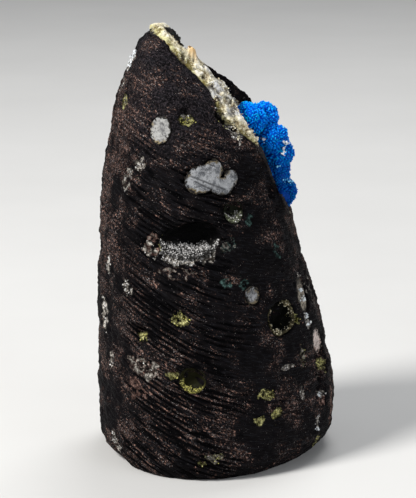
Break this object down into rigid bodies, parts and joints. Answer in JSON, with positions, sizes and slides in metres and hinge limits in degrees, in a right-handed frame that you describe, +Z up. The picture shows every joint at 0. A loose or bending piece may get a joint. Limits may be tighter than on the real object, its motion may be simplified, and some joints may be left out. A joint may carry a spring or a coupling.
{
  "type": "cavansite specimen on basalt matrix",
  "caption": "Tapering stump of black vesicular basalt with a sawn front and an open pocket on its right shoulder, lined with cream zeolite and holding a chain of blue cavansite crystal balls.",
  "frame": {"origin": "middle of the specimen's plan, on the surface it stands on", "axes": "+Z up, -Y towards the sawn front, +X towards the pocket and the cavansite"},
  "size_m": [0.035, 0.0318, 0.062],
  "materials": {
    "basalt": "sawn and rough, near black with fine rust-brown and pale specks",
    "cream_zeolite": "lumpy crystalline crust, cream with yellow stain",
    "cavansite": "glassy pointed blades, deep blue with brighter tips",
    "white_zeolite": "sawn flush, grey-white with fine dark scratches",
    "yellow_lining": "thin crystalline lining, yellow-green to cream",
    "druse": "sparkling white crystal druse"
  },
  "bodies": {
    "root": {"basalt_matrix": "basalt", "zeolite_crust": "cream_zeolite", "cavansite_cluster": "cavansite", "filling_lobed": "white_zeolite", "filling_oval": "white_zeolite", "filling_round": "white_zeolite", "filling_right_high": "white_zeolite", "filling_right_low": "white_zeolite", "filling_back_high": "white_zeolite", "filling_back_low": "white_zeolite", "lining_large_vug": "druse", "lining_square_vug": "yellow_lining", "lining_green_vug": "yellow_lining", "lining_pale_vug": "yellow_lining", "lining_back_vug": "druse"}
  },
  "joints": []
}
